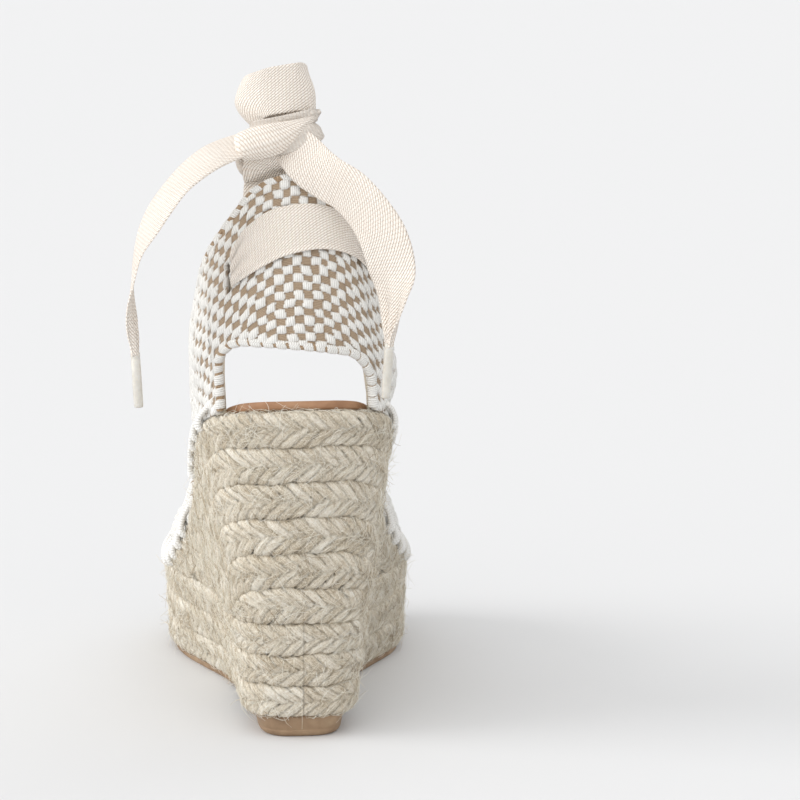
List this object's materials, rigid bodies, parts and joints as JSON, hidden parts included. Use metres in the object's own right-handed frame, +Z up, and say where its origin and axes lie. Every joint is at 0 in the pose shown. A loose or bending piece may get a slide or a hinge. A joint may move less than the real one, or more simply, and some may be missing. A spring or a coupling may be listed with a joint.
{
  "type": "wedge sandal",
  "caption": "Left-foot espadrille wedge sandal with a plaited jute wedge, woven cotton upper, cut-out heel and a cotton ribbon tied behind the ankle.",
  "frame": {"origin": "middle of the bounding box's base, on the ground, with the two free ribbon ends left out", "axes": "+Z up, -Y towards the toe, +Y towards the heel, +X towards the outer (lateral) side of the left foot"},
  "size_m": [0.1117, 0.2358, 0.2378],
  "materials": {
    "jute": "matt plaited jute",
    "core": "light cork-rubber core",
    "rubber": "satin tan rubber",
    "leather": "smooth tan leather",
    "board": "fibre board",
    "foam": "thin foam",
    "weave": "woven cotton, off-white and tan",
    "lining": "plain cotton",
    "thread": "thick cotton thread",
    "ribbon": "cream cotton twill tape",
    "aglet": "pale clear plastic sleeve over tape"
  },
  "bodies": {
    "shoe": {"heel_tip": "rubber", "forefoot_outsole": "rubber", "underside_panel": "jute", "wedge_core": "core", "insole_board": "board", "insole_foam": "foam", "footbed": "leather", "vamp": "weave", "heel_collar": "weave", "vamp_lining": "lining", "collar_lining": "lining", "collar_topline_binding": "thread", "heel_opening_binding": "thread", "throat_binding": "thread", "toe_binding": "thread", "vamp_whipstitch_lateral": "thread", "vamp_whipstitch_medial": "thread", "collar_whipstitch_lateral": "thread", "collar_whipstitch_medial": "thread", "ribbon_heel_band": "ribbon", "ribbon_riser_lateral": "ribbon", "ribbon_riser_medial": "ribbon", "ribbon_knot": "ribbon", "ribbon_ankle_loop": "ribbon", "braid_ring_1": "jute", "braid_ring_2": "jute", "braid_ring_3": "jute", "braid_row_4": "jute", "braid_row_5": "jute", "braid_row_6": "jute", "braid_row_7": "jute", "braid_row_8": "jute", "braid_row_9": "jute"},
    "lateral_tail": {"ribbon_tail_lateral": "ribbon", "aglet_lateral": "aglet"},
    "medial_tail": {"ribbon_tail_medial": "ribbon", "aglet_medial": "aglet"}
  },
  "joints": [
    {"name": "lateral_tail_swing", "type": "hinge", "parent": "shoe", "child": "lateral_tail", "pos_m": [0.02415, 0.09824, 0.2102], "axis": [1, 0, 0], "range_deg": [-25, 40]},
    {"name": "medial_tail_swing", "type": "hinge", "parent": "shoe", "child": "medial_tail", "pos_m": [0.00395, 0.10464, 0.2074], "axis": [1, 0, 0], "range_deg": [0, 40]}
  ]
}
